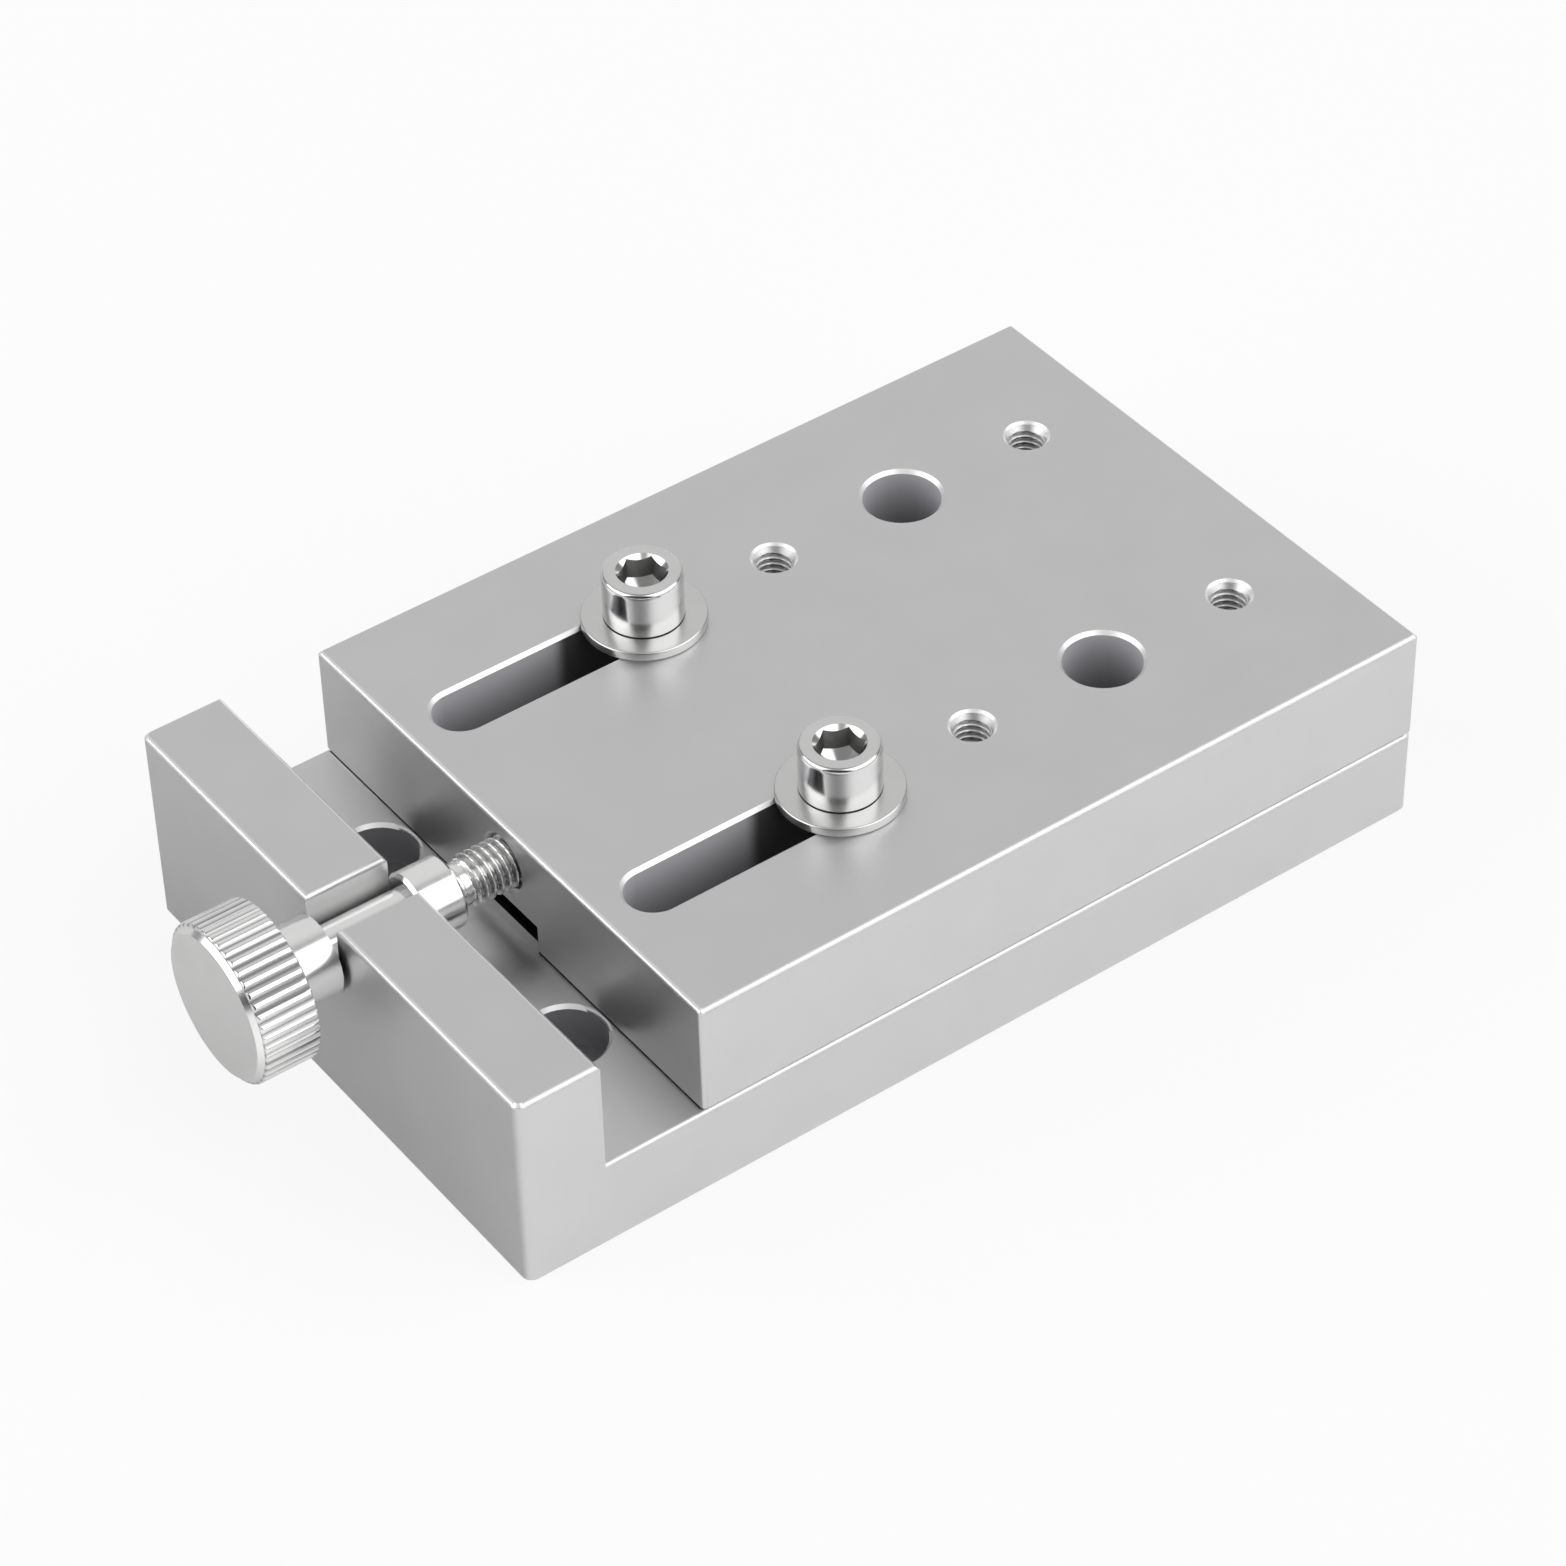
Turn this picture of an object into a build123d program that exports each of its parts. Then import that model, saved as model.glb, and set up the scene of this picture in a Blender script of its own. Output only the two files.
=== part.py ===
from build123d import *
import math
import os

# Manual linear stage: a knurled feed screw drives a slide table along a base plate, and two
# clamp screws through slots in the table lock it. Millimetres.
# Origin: centre of the base plate's underside. +X runs from the knob end to the far end,
# +Y to the far long side, +Z up. The table stands where the photograph shows it, fully back.

# base plate and its raised end block
base_length = 100.0
base_width = 60.0
base_thickness = 9.5
base_corner_radius = 1.0
block_length = 8.5
edge_chamfer = 0.35
top_chamfer = 0.45

# slide table
table_length = 81.0
table_thickness = 12.0
table_corner_radius = 0.5
channel_length = 10.3
end_play = 0.25
stroke = 20.0

# guide rib on the base and the groove that runs over it
rib_width = 9.96
rib_height = 1.5
guide_clearance = 0.02
groove_depth = 3.3

# feed screw, from the knob inwards
feed_height = 7.5
knob_diameter = 15.5
knob_length = 6.0
knob_rim_chamfer = 0.8
knurl_count = 44
knurl_depth = 0.35
hub_diameter = 7.6
hub_length = 5.2
neck_diameter = 4.5
collar_diameter = 7.0
collar_length = 4.3
shoulder_chamfer = 0.3
thrust_play = 0.1
feed_thread = 5.0
feed_thread_length = 37.0
feed_tip_chamfer = 0.6
neck_clearance = 0.25

# bore for the feed screw in the table
thread_clearance = 0.05
feed_nut_length = 14.0
feed_relief_clearance = 0.3
feed_bore_room = 2.0
feed_mouth = 0.5

# clamp screws and washers
clamp_thread = 5.0
clamp_spacing = 30.0
clamp_screw_length = 20.0
clamp_head_diameter = 7.6
clamp_head_height = 5.0
clamp_head_edge = 0.4
clamp_head_edge_height = 0.6
clamp_hex = 4.0
clamp_hex_depth = 2.3
clamp_hex_point = 30.0
clamp_hex_rim = 4.9
clamp_hex_turn = -27.0
clamp_tip_chamfer = 0.5
slot_inset = 3.2
slot_clearance = 0.25
washer_diameter = 11.8
washer_thickness = 1.0
washer_edge = 0.15
washer_clearance = 0.15

# tapped holes and access holes of the table
tap_thread = 4.0
tap_spacing_x = 30.0
tap_spacing_y = 30.0
tap_end_inset = 10.0
tap_clearance = 0.02
tap_mouth = 0.25
access_diameter = 7.5
hole_mouth = 0.35

# counterbored mounting holes of the base
mount_spacing_x = 60.0
mount_spacing_y = 30.0
mount_diameter = 4.5
mount_head_diameter = 7.5
mount_head_depth = 4.5

# places that follow from the sizes
knob_end = -base_length / 2
far_end = base_length / 2
block_inner = knob_end + block_length
table_bottom = base_thickness
table_top = table_bottom + table_thickness
table_start = block_inner + channel_length
table_end = table_start + table_length
feed_axis = table_bottom + feed_height
slot_width = clamp_thread + 2 * slot_clearance
slot_length = slot_width + stroke + 2 * end_play
slot_start = table_start + slot_inset
clamp_x = slot_start + slot_width / 2 + end_play + stroke
pattern_x = table_end - tap_end_inset - tap_spacing_x / 2
mount_x = pattern_x - mount_spacing_x / 2
washer_top = table_top + washer_thickness
head_top = washer_top + clamp_head_height
hub_end = knob_end - thrust_play
knob_back = hub_end - hub_length
knob_front = knob_back - knob_length
collar_start = block_inner + thrust_play
collar_end = collar_start + collar_length
feed_tip = collar_end + feed_thread_length
over = 1.0
UNDER = (Align.CENTER, Align.CENTER, Align.MAX)


def hole(steps, mouth):
    """A round cutting tool down from z = 0: steps are (radius, depth) from the top, and the
    mouth is a 45 degree chamfer of that width round the first step."""
    first = steps[0][0]
    outline = [(0, over), (first + mouth, over), (first + mouth, 0), (first, -mouth)]
    for index, (radius, depth) in enumerate(steps):
        if index:
            outline.append((radius, -steps[index - 1][1]))
        outline.append((radius, -depth))
    outline.append((0, -steps[-1][1]))
    face = make_face(Plane.XZ * Polyline(*outline, close=True))
    return revolve(face, Axis.Z)


def at_corners(tool, x, spacing_x, spacing_y, z):
    """The tool at the four corners of a rectangle centred on (x, 0)."""
    return [
        Pos(x + i * spacing_x / 2, j * spacing_y / 2, z) * tool
        for i in (-1, 1)
        for j in (-1, 1)
    ]


def make_base_plate():
    """Plate, end block with its U-notch, guide rib, mounting holes and clamp screw threads."""
    profile = Polyline(
        (knob_end, 0),
        (far_end, 0),
        (far_end, base_thickness),
        (block_inner, base_thickness),
        (block_inner, table_top),
        (knob_end, table_top),
        close=True,
    )
    body = extrude(make_face(Plane.XZ * profile), base_width / 2, both=True)
    upright = body.edges().filter_by(Axis.Z)
    corners = upright.filter_by(lambda e: abs(abs(e.center().X) - base_length / 2) < 1e-6)
    body = fillet(corners, base_corner_radius)

    rib_length = far_end - table_start
    rib = Pos(table_start + rib_length / 2, 0, base_thickness) * Box(
        rib_length, rib_width, 2 * rib_height
    )
    body = chamfer(floor_edges(body), edge_chamfer)
    body += rib

    notch_radius = neck_diameter / 2 + neck_clearance
    notch = Circle(notch_radius) + Pos(0, table_thickness / 2) * Rectangle(
        2 * notch_radius, table_thickness
    )
    along = Plane(origin=(knob_end - over, 0, feed_axis), x_dir=(0, 1, 0), z_dir=(1, 0, 0))
    body -= extrude(along * notch, block_length + 2 * over)
    body = chamfer(body.faces().sort_by(Axis.Z)[-2:].edges(), top_chamfer)

    head = (mount_head_diameter / 2, mount_head_depth)
    shank = (mount_diameter / 2, base_thickness + over)
    mounting = hole([head, shank], hole_mouth)
    body -= at_corners(mounting, mount_x, mount_spacing_x, mount_spacing_y, base_thickness)

    tapped = hole([(clamp_thread / 2 + thread_clearance, base_thickness + over)], hole_mouth)
    body -= [
        Pos(clamp_x, side * clamp_spacing / 2, base_thickness) * tapped for side in (-1, 1)
    ]
    return body


def floor_edges(body):
    """The outer edges of the base's floor and of its underside."""
    edges = body.edges()
    floor = edges.filter_by(lambda e: abs(e.center().Z - base_thickness) < 1e-6)
    outer = floor.filter_by(lambda e: e.center().X > block_inner + 1e-6)
    under = edges.filter_by(lambda e: abs(e.center().Z) < 1e-6)
    return outer + under


def make_slide_table():
    """Plate with slots, access holes, tapped holes, guide groove and the feed screw's bore."""
    middle_x = (table_start + table_end) / 2
    middle_z = (table_bottom + table_top) / 2
    body = Pos(middle_x, 0, middle_z) * Box(table_length, base_width, table_thickness)
    body = fillet(body.edges().filter_by(Axis.Z), table_corner_radius)
    body = chamfer(body.faces().sort_by(Axis.Z)[0].edges(), edge_chamfer)
    body = chamfer(body.faces().sort_by(Axis.Z)[-1].edges(), top_chamfer)

    groove_width = rib_width + 2 * guide_clearance
    body -= Pos(middle_x, 0, table_bottom) * Box(
        table_length + 2 * over, groove_width, 2 * groove_depth
    )

    slot_x = slot_start + slot_length / 2
    slot = extrude(SlotOverall(slot_length, slot_width), table_thickness + over, both=True)
    mouth_slot = SlotOverall(slot_length + 2 * hole_mouth, slot_width + 2 * hole_mouth)
    slot += extrude(mouth_slot, -hole_mouth, taper=45)
    body -= [Pos(slot_x, side * clamp_spacing / 2, table_top) * slot for side in (-1, 1)]

    tapped = hole([(tap_thread / 2 + tap_clearance, table_thickness + over)], tap_mouth)
    body -= at_corners(tapped, pattern_x, tap_spacing_x, tap_spacing_y, table_top)

    access = hole([(access_diameter / 2, table_thickness + over)], hole_mouth)
    body -= [
        Pos(pattern_x, side * mount_spacing_y / 2, table_top) * access for side in (-1, 1)
    ]

    nut = (feed_thread / 2 + thread_clearance, feed_nut_length)
    relief = (feed_thread / 2 + feed_relief_clearance, feed_tip + feed_bore_room - table_start)
    bore = hole([nut, relief], feed_mouth)
    body -= Pos(table_start, 0, feed_axis) * Rot(0, -90, 0) * bore
    return body


def make_feed_screw():
    """Knurled knob, hub, neck, inner collar and thread, turned in one piece."""
    knob = knob_diameter / 2
    hub = hub_diameter / 2
    neck = neck_diameter / 2
    collar = collar_diameter / 2
    thread = feed_thread / 2
    outline = [
        (knob_front, 0),
        (knob_front, knob - knob_rim_chamfer),
        (knob_front + knob_rim_chamfer, knob),
        (knob_back, knob),
        (knob_back, hub),
        (hub_end - shoulder_chamfer, hub),
        (hub_end, hub - shoulder_chamfer),
        (hub_end, neck),
        (collar_start, neck),
        (collar_start, collar - shoulder_chamfer),
        (collar_start + shoulder_chamfer, collar),
        (collar_end - shoulder_chamfer, collar),
        (collar_end, collar - shoulder_chamfer),
        (collar_end, thread),
        (feed_tip - feed_tip_chamfer, thread),
        (feed_tip, thread - feed_tip_chamfer),
        (feed_tip, 0),
    ]
    turned = revolve(make_face(Polyline(*outline, close=True)), Axis.X)

    groove_angle = 360 / knurl_count
    half_width = knob * math.sin(math.radians(groove_angle / 2))
    valley = knob * math.cos(math.radians(groove_angle / 2)) - knurl_depth
    groove = Polyline(
        (valley, 0),
        (knob + over, half_width * (1 + over / knurl_depth)),
        (knob + over, -half_width * (1 + over / knurl_depth)),
        close=True,
    )
    across = Plane(origin=(knob_front - over, 0, 0), x_dir=(0, 1, 0), z_dir=(1, 0, 0))
    grooves = across * (Sketch() + PolarLocations(0, knurl_count) * make_face(groove))
    turned -= extrude(grooves, knob_length + 2 * over)
    return Pos(0, 0, feed_axis) * turned


def make_clamp_screw(side):
    """Socket head cap screw through the table's slot into the base."""
    head = clamp_head_diameter / 2
    thread = clamp_thread / 2
    tip = washer_top - clamp_screw_length
    outline = [
        (0, tip),
        (thread - clamp_tip_chamfer, tip),
        (thread, tip + clamp_tip_chamfer),
        (thread, washer_top),
        (head, washer_top),
        (head, head_top - clamp_head_edge_height),
        (head - clamp_head_edge, head_top),
        (0, head_top),
    ]
    turned = revolve(make_face(Plane.XZ * Polyline(*outline, close=True)), Axis.Z)
    turned -= Pos(0, 0, head_top) * Rot(0, 0, clamp_hex_turn) * make_hex_socket()
    rim = (clamp_hex_rim - clamp_hex) / 2
    turned -= Pos(0, 0, head_top) * Cone(clamp_hex / 2, clamp_hex_rim / 2, rim, align=UNDER)
    return Pos(clamp_x, side * clamp_spacing / 2, 0) * turned


def make_hex_socket():
    """Six flats down from z = 0, with the cone that the drill leaves as their bottom."""
    corner = clamp_hex / 2 / math.cos(math.pi / 6)
    point = corner * math.tan(math.radians(clamp_hex_point))
    depth = clamp_hex_depth + point
    drilled = Polyline((0, 0), (corner, 0), (corner, -clamp_hex_depth), (0, -depth), close=True)
    flats = extrude(RegularPolygon(corner, 6), -depth)
    return flats & revolve(make_face(Plane.XZ * drilled), Axis.Z)


def make_clamp_washer(side):
    """Large flat washer under a clamp screw's head."""
    bore = clamp_thread / 2 + washer_clearance
    rim = washer_diameter / 2
    outline = [
        (bore, table_top),
        (rim - washer_edge, table_top),
        (rim, table_top + washer_edge),
        (rim, washer_top - washer_edge),
        (rim - washer_edge, washer_top),
        (bore, washer_top),
    ]
    ring = revolve(make_face(Plane.XZ * Polyline(*outline, close=True)), Axis.Z)
    return Pos(clamp_x, side * clamp_spacing / 2, 0) * ring


pieces = {
    "base_plate": make_base_plate(),
    "slide_table": make_slide_table(),
    "feed_screw": make_feed_screw(),
    "near_clamp_screw": make_clamp_screw(-1),
    "far_clamp_screw": make_clamp_screw(1),
    "near_clamp_washer": make_clamp_washer(-1),
    "far_clamp_washer": make_clamp_washer(1),
}

os.makedirs("parts", exist_ok=True)
for name, solid in pieces.items():
    export_step(solid, f"parts/{name}.step")
    print(name, round(solid.volume, 1))
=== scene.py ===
# %% [markdown]
# # Manual linear stage
#
# This lesson dresses a small positioning stage: a base plate, a slide table, a knurled feed
# screw and two clamp screws with washers. The CAD frame already has every size and every
# place, so here we only make what the eye wants and CAD leaves out: real threads, rounded
# knurls, bright cut edges, the blasted and polished finishes, and a studio to see them in.
#
# We work in two steps that you can reuse: first shapes, worked out as whole numpy arrays on
# a grid of rings, then finishes, built from a few small node groups.

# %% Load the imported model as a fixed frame
import math

import bmesh
import bpy
import numpy as np
from mathutils import Matrix, Vector


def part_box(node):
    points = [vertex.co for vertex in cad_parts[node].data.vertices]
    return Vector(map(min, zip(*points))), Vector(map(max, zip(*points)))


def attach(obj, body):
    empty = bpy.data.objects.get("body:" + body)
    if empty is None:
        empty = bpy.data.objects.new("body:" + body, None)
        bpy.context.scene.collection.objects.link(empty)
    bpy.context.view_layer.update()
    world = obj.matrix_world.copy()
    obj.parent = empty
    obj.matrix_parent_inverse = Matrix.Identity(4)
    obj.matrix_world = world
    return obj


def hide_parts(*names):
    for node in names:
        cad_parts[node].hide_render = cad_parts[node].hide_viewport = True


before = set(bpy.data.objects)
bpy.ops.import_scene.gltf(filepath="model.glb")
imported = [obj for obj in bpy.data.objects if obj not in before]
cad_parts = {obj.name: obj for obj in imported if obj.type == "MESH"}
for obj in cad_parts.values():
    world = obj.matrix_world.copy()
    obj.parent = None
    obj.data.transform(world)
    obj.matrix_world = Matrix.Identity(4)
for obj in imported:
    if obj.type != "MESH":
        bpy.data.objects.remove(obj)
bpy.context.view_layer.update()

MM = 0.001
print("nodes:", ", ".join(sorted(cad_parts)))

# %% [markdown]
# ## Places that the frame gives
#
# A maker reads the places off the drawing. We read them off the frame's boxes, in
# millimetres, so that no piece is fitted by eye: the feed screw's axis is the middle of its
# box, and each clamp screw stands over the middle of its own box.

# %% Read boxes and axes
def box_mm(node):
    """Lowest and highest corner of a CAD node, in millimetres."""
    low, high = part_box(node)
    return np.array(low) / MM, np.array(high) / MM


base_low = box_mm("base_plate")[0]
table_low, table_high = box_mm("slide_table")
feed_low, feed_high = box_mm("feed_screw")
clamp_low, clamp_high = box_mm("near_clamp_screw")
washer_low, washer_high = box_mm("near_clamp_washer")

feed_axis = (feed_low[2] + feed_high[2]) / 2
clamp_x = (clamp_low[0] + clamp_high[0]) / 2
clamp_y = -(clamp_low[1] + clamp_high[1]) / 2
sides = {"near": -clamp_y, "far": clamp_y}
table_top, table_bottom = table_high[2], table_low[2]
print(f"feed axis z {feed_axis:.2f}, clamp screws x {clamp_x:.2f}, y {clamp_y:.2f}")

# %% [markdown]
# ## Shapes as stacks of rings
#
# Everything turned on a lathe is a stack of rings: a radius for each step along the axis and
# each angle round it. A spun profile gives plain cylinders, but no thread or knurl, where the
# radius also depends on the angle. So we compute the radius as one array of rings by columns,
# and one small function skins it.

# %% Skin a stack of rings
def skin(rings, ends="poles", recess=0.0):
    """Points, quads, end triangles and recess over an array of ring x column x (x, y, z).

    Corner (i, j) is joined to its neighbour round the ring and to the next ring. With
    "poles" the middle of the first and last ring closes the ends. With "joined" the last
    ring meets the first, as in a tube's wall. The signed volume turns the faces outwards.
    The recess says how deep each point lies: 0 on top, 1 in the root of a groove, and more
    than 1 in a gap that no light reaches.
    """
    count, columns = rings.shape[:2]
    last = count if ends == "joined" else count - 1
    i, j = np.meshgrid(np.arange(last), np.arange(columns), indexing="ij")
    up, right = (i + 1) % count, (j + 1) % columns
    corners = [(i, j), (i, right), (up, right), (up, j)]
    quads = np.stack([a * columns + b for a, b in corners], axis=-1).reshape(-1, 4)
    points = rings.reshape(-1, 3)
    deep = np.broadcast_to(recess, (count, columns)).reshape(-1)
    fans = np.empty((0, 3), int)
    if ends == "poles":
        points = np.vstack([points, rings[0].mean(axis=0), rings[-1].mean(axis=0)])
        deep = np.append(deep, [0.0, 0.0])
        round_, after = np.arange(columns), (np.arange(columns) + 1) % columns
        top = (count - 1) * columns
        first = np.full(columns, count * columns)
        fans = np.vstack([
            np.stack([first, after, round_], axis=1),
            np.stack([first + 1, top + round_, top + after], axis=1),
        ])
    triangles = np.vstack([quads[:, [0, 1, 2]], quads[:, [0, 2, 3]], fans])
    a, b, c = (points[triangles[:, k]] for k in range(3))
    if np.einsum("ij,ij->", np.cross(a, b), c) < 0:
        quads, fans = quads[:, ::-1], fans[:, ::-1]
    return points, quads, fans, deep


print("quads between two rings of 8 columns:", len(skin(np.zeros((2, 8, 3)))[1]))

# %% [markdown]
# ## From shells to a piece
#
# A piece may hold several closed shells, such as a knob and a shank. We join them in one mesh,
# keep the recess of every point as an attribute for the finish, and smooth every edge that
# bends less than the sharp angle. The piece then rides on a body of the frame, and the CAD
# nodes that it stands in for are hidden.

# %% Put shells into one mesh object
turned_angle, plate_angle = 32, 50


def put_piece(name, shells, body, replaced=()):
    """One object from closed shells in millimetres, riding on a body of the frame."""
    points, faces, recess, start = [], [], [], 0
    for shell_points, quads, fans, deep in shells:
        points.append(shell_points * MM)
        faces += (quads + start).tolist() + (fans + start).tolist()
        recess.append(deep)
        start += len(shell_points)
    mesh = bpy.data.meshes.new(name)
    mesh.from_pydata(np.vstack(points), [], faces)
    mesh.attributes.new("recess", "FLOAT", "POINT").data.foreach_set(
        "value", np.concatenate(recess).astype(np.float32))
    return finish_piece(name, mesh, body, replaced)


def finish_piece(name, mesh, body, replaced, sharp=turned_angle):
    """Smooth faces with edges over the sharp angle kept, a place in the scene, a body of the
    frame to ride on, and the replaced CAD nodes hidden."""
    mesh.shade_smooth()
    mesh.set_sharp_from_angle(angle=math.radians(sharp))
    piece = bpy.data.objects.new(name, mesh)
    bpy.context.scene.collection.objects.link(piece)
    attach(piece, body)
    if replaced:
        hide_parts(*replaced)
    triangles = len(mesh.loops) - 2 * len(mesh.polygons)
    print(f"{name}: {len(mesh.vertices)} points, {triangles} triangles")
    return piece


print(f"edges stay sharp over {turned_angle} degrees, and on plates over {plate_angle}")

# %% [markdown]
# ## The shape of a thread
#
# A metric thread is a ridge with 60 degree flanks that climbs one pitch in each turn. Its
# crest is an eighth of the pitch wide and its root a quarter. We write it as a function of
# the place along the axis and the angle round it. The same function cuts a screw, and read
# as the wall of a hole it cuts the nut.

# %% Radius of a thread
crest_share, root_share = 1 / 8, 1 / 4


def thread_radius(along, angle, pitch, crest, root):
    """The radius of a right-hand thread.

    The phase is along / pitch minus the part of a turn. The rise is 1 over the crest, 0 over
    the root, and between them halfway from a straight flank to a smooth step.
    """
    phase = (along / pitch - angle / (2 * np.pi)) % 1.0
    from_crest = np.abs(phase - 0.5) * 2
    rise = np.clip((1 - root_share - from_crest) / (1 - root_share - crest_share), 0, 1)
    soft = rise * rise * (3 - 2 * rise)
    return root + (crest - root) * (rise + soft) / 2


def angles(columns, start=0.0):
    """Equal steps round a circle, from a starting angle in degrees."""
    return np.radians(start) + np.arange(columns) * 2 * np.pi / columns


def steps(*corners):
    """Places from corner to corner: each corner after the first is (value, how many)."""
    places = [np.array([corners[0]], float)]
    for value, count in corners[1:]:
        places.append(np.linspace(places[-1][-1], value, count + 1)[1:])
    return np.concatenate(places)


print("radii over one pitch:", thread_radius(steps(0, (0.8, 8)), 0, 0.8, 2.5, 2.01).round(2))

# %% [markdown]
# ## Knurled feed screw
#
# The feed screw is one turned steel piece: knob, hub, neck, collar and an M5 thread. The
# knob has 44 straight knurls. A pressed knurl is a broad, flat ridge between narrow grooves.
# The absolute value of a sine gives round ridges, and a power of 0.6 flattens them. Taking
# the smaller of the groove's radius and the turned outline's radius lets every groove run
# out into the 45 degree rim by itself, as it does on the lathe.

# %% Knob
knob_radius = 7.75
knob_front, knob_back = feed_low[0], feed_low[0] + 6.0
knob_rim, knob_back_edge, pole_ring = 0.8, 0.15, 1.0
knurl_count, knurl_depth, knurl_turn = 44, 0.35, 2.2
knurl_power, knurl_shade = 0.6, 1.7


def make_knob():
    """Rings of the knob: the smaller of the turned outline and the knurl at each angle.

    The knurl's radius is the knob's radius less the depth times (1 - |sin(22 x angle)|^0.6).
    Each ridge ends over the rim in a quarter circle as high as the groove is deep. The
    recess grows 1.7 times as fast as the depth, so that the painted shade in the grooves
    reaches up their sides too.
    """
    turn = np.linspace(0, np.pi / 2, 7)[1:]
    rim_end = knob_front + knob_rim - knurl_depth
    x = np.concatenate([steps(knob_front, (knob_front, 4), (rim_end, 5)),
                        rim_end + knurl_depth * (1 - np.cos(turn)),
                        steps(knob_front + knob_rim, (knob_back - knob_back_edge, 10),
                              (knob_back, 1), (knob_back, 3))[1:]])
    root = knob_radius - knurl_depth
    outline = np.concatenate([steps(pole_ring, (knob_radius - knob_rim, 4), (root, 5)),
                              root + knurl_depth * np.sin(turn),
                              steps(knob_radius, (knob_radius, 10),
                                    (knob_radius - knob_back_edge, 1), (pole_ring, 3))[1:]])
    angle = angles(knurl_count * 12)
    groove = np.abs(np.sin(knurl_count / 2 * (angle - np.radians(knurl_turn)))) ** knurl_power
    knurl = knob_radius - knurl_depth * (1 - groove)
    radius = np.minimum(outline[:, None], knurl[None, :])
    side = outline[:, None] > root + 0.01
    # The recess paints shade into the knurl's grooves.
    recess = np.where(side, np.clip(knurl_shade * (1 - groove), 0, 1)[None, :], 0.0)
    y, z = radius * np.cos(angle), feed_axis + radius * np.sin(angle)
    rings = np.stack([np.broadcast_to(x[:, None], radius.shape), y, z], axis=-1)
    return skin(rings, recess=recess)


knob = make_knob()
print(f"knob: {len(knob[0])} points")

# %% [markdown]
# Behind the knob the same bar of steel goes on as a hub, a thin neck that lies in the block's
# notch, a collar and the thread. One outline along the axis holds all of it, so it needs no
# boolean. The hub bears on the block with a small boss, and the gap round the boss is painted
# black as shade.

# %% Shank with hub, neck, collar and thread
hub_radius, neck_radius, collar_radius = 3.8, 2.25, 3.5
hub_gap, hub_boss, fillet, shoulder = 0.35, 2.8, 0.1, 0.3
hub_end = base_low[0] - 0.1
collar_start = hub_end + 8.7
collar_end = collar_start + 4.3
feed_tip, tip_bevel = feed_high[0], 0.6
feed_crest, feed_root, feed_pitch = 2.5, 2.01, 0.8
relief_radius, relief_length, rows_a_turn = feed_root + 0.1, 1.6, 20
# Painted shade: how dark the thread's roots get, and the recess that paints the gap black.
thread_shade, painted_black_recess = 0.7, 1.5


def make_shank():
    """Rings along the axis: the turned outline, and over the thread the smaller of the
    thread and the outline, so that the thread dies out in the relief and the tip's bevel.

    The recess paints the gap round the boss black as shade, and grows with the thread's depth,
    which paints shade into the thread's roots.
    """
    x = steps(knob_back - 1.0, (hub_end - hub_gap, 3), (hub_end - hub_gap, 1),
              (hub_end, 1), (hub_end, 2), (hub_end + fillet, 1), (collar_start, 3),
              (collar_start, 1),
              (collar_start + shoulder, 2), (collar_end - shoulder, 2), (collar_end, 2),
              (collar_end, 1))
    outline = steps(hub_radius, (hub_radius, 3), (hub_boss, 1),
                    (hub_boss, 1), (neck_radius + fillet, 2), (neck_radius, 1),
                    (neck_radius, 3),
                    (collar_radius - shoulder, 1), (collar_radius, 2), (collar_radius, 2),
                    (collar_radius - shoulder, 2), (relief_radius, 1))
    angle = angles(72)
    turned = np.broadcast_to(outline[:, None], (len(outline), len(angle)))

    rows = int((feed_tip - collar_end) / feed_pitch * rows_a_turn)
    along = np.linspace(collar_end, feed_tip, rows)[1:]
    relief = relief_radius + np.clip(along - collar_end - relief_length, 0, 1)
    bevel = feed_crest - tip_bevel + (feed_tip - along)
    cut = thread_radius(along[:, None], angle[None, :], feed_pitch, feed_crest, feed_root)
    deep = thread_shade * (feed_crest - cut) / (feed_crest - feed_root)
    deep = deep * (relief > feed_crest)[:, None]
    cut = np.minimum(cut, np.minimum(relief, bevel)[:, None])

    x, radius = np.concatenate([x, along]), np.vstack([turned, cut])
    # Paint the gap round the boss black as shade.
    gap = painted_black_recess * np.isclose(outline, hub_boss)
    recess = np.vstack([np.broadcast_to(gap[:, None], turned.shape), deep])
    y, z = radius * np.cos(angle), feed_axis + radius * np.sin(angle)
    rings = np.stack([np.broadcast_to(x[:, None], radius.shape), y, z], axis=-1)
    return skin(rings, recess=recess)


feed_screw = put_piece("feed_screw_turned", [knob, make_shank()],
                       "feed", ["feed_screw"])

# %% [markdown]
# ## Socket head clamp screws
#
# A cap screw is upset from wire, so its head is smooth, and the hexagon socket is pressed in
# and ends in a drilled cone. One stack of rings holds all of it: it starts in the middle
# of the cone, goes out to the hexagon, climbs the flats, crosses the head and comes down
# over the thread to the tip. The hexagon is the circle's radius divided by the cosine of the
# angle from the middle of a flat. The columns start on a corner, so the corners stay crisp.

# %% One clamp screw
clamp_head_radius, clamp_head_height = 3.8, 5.0
head_edge_in, head_edge_down, head_gap = 0.4, 0.6, 0.12
clamp_crest, clamp_root, clamp_pitch = 2.5, 2.01, 0.8
clamp_relief, clamp_bevel, bolt_rows_a_turn = 0.8, 0.5, 14
hex_half, hex_depth, hex_rim, hex_turn = 2.0, 2.3, 2.45, -27.0
head_top, head_under = clamp_high[2], clamp_high[2] - clamp_head_height
clamp_tip = clamp_low[2]


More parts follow.
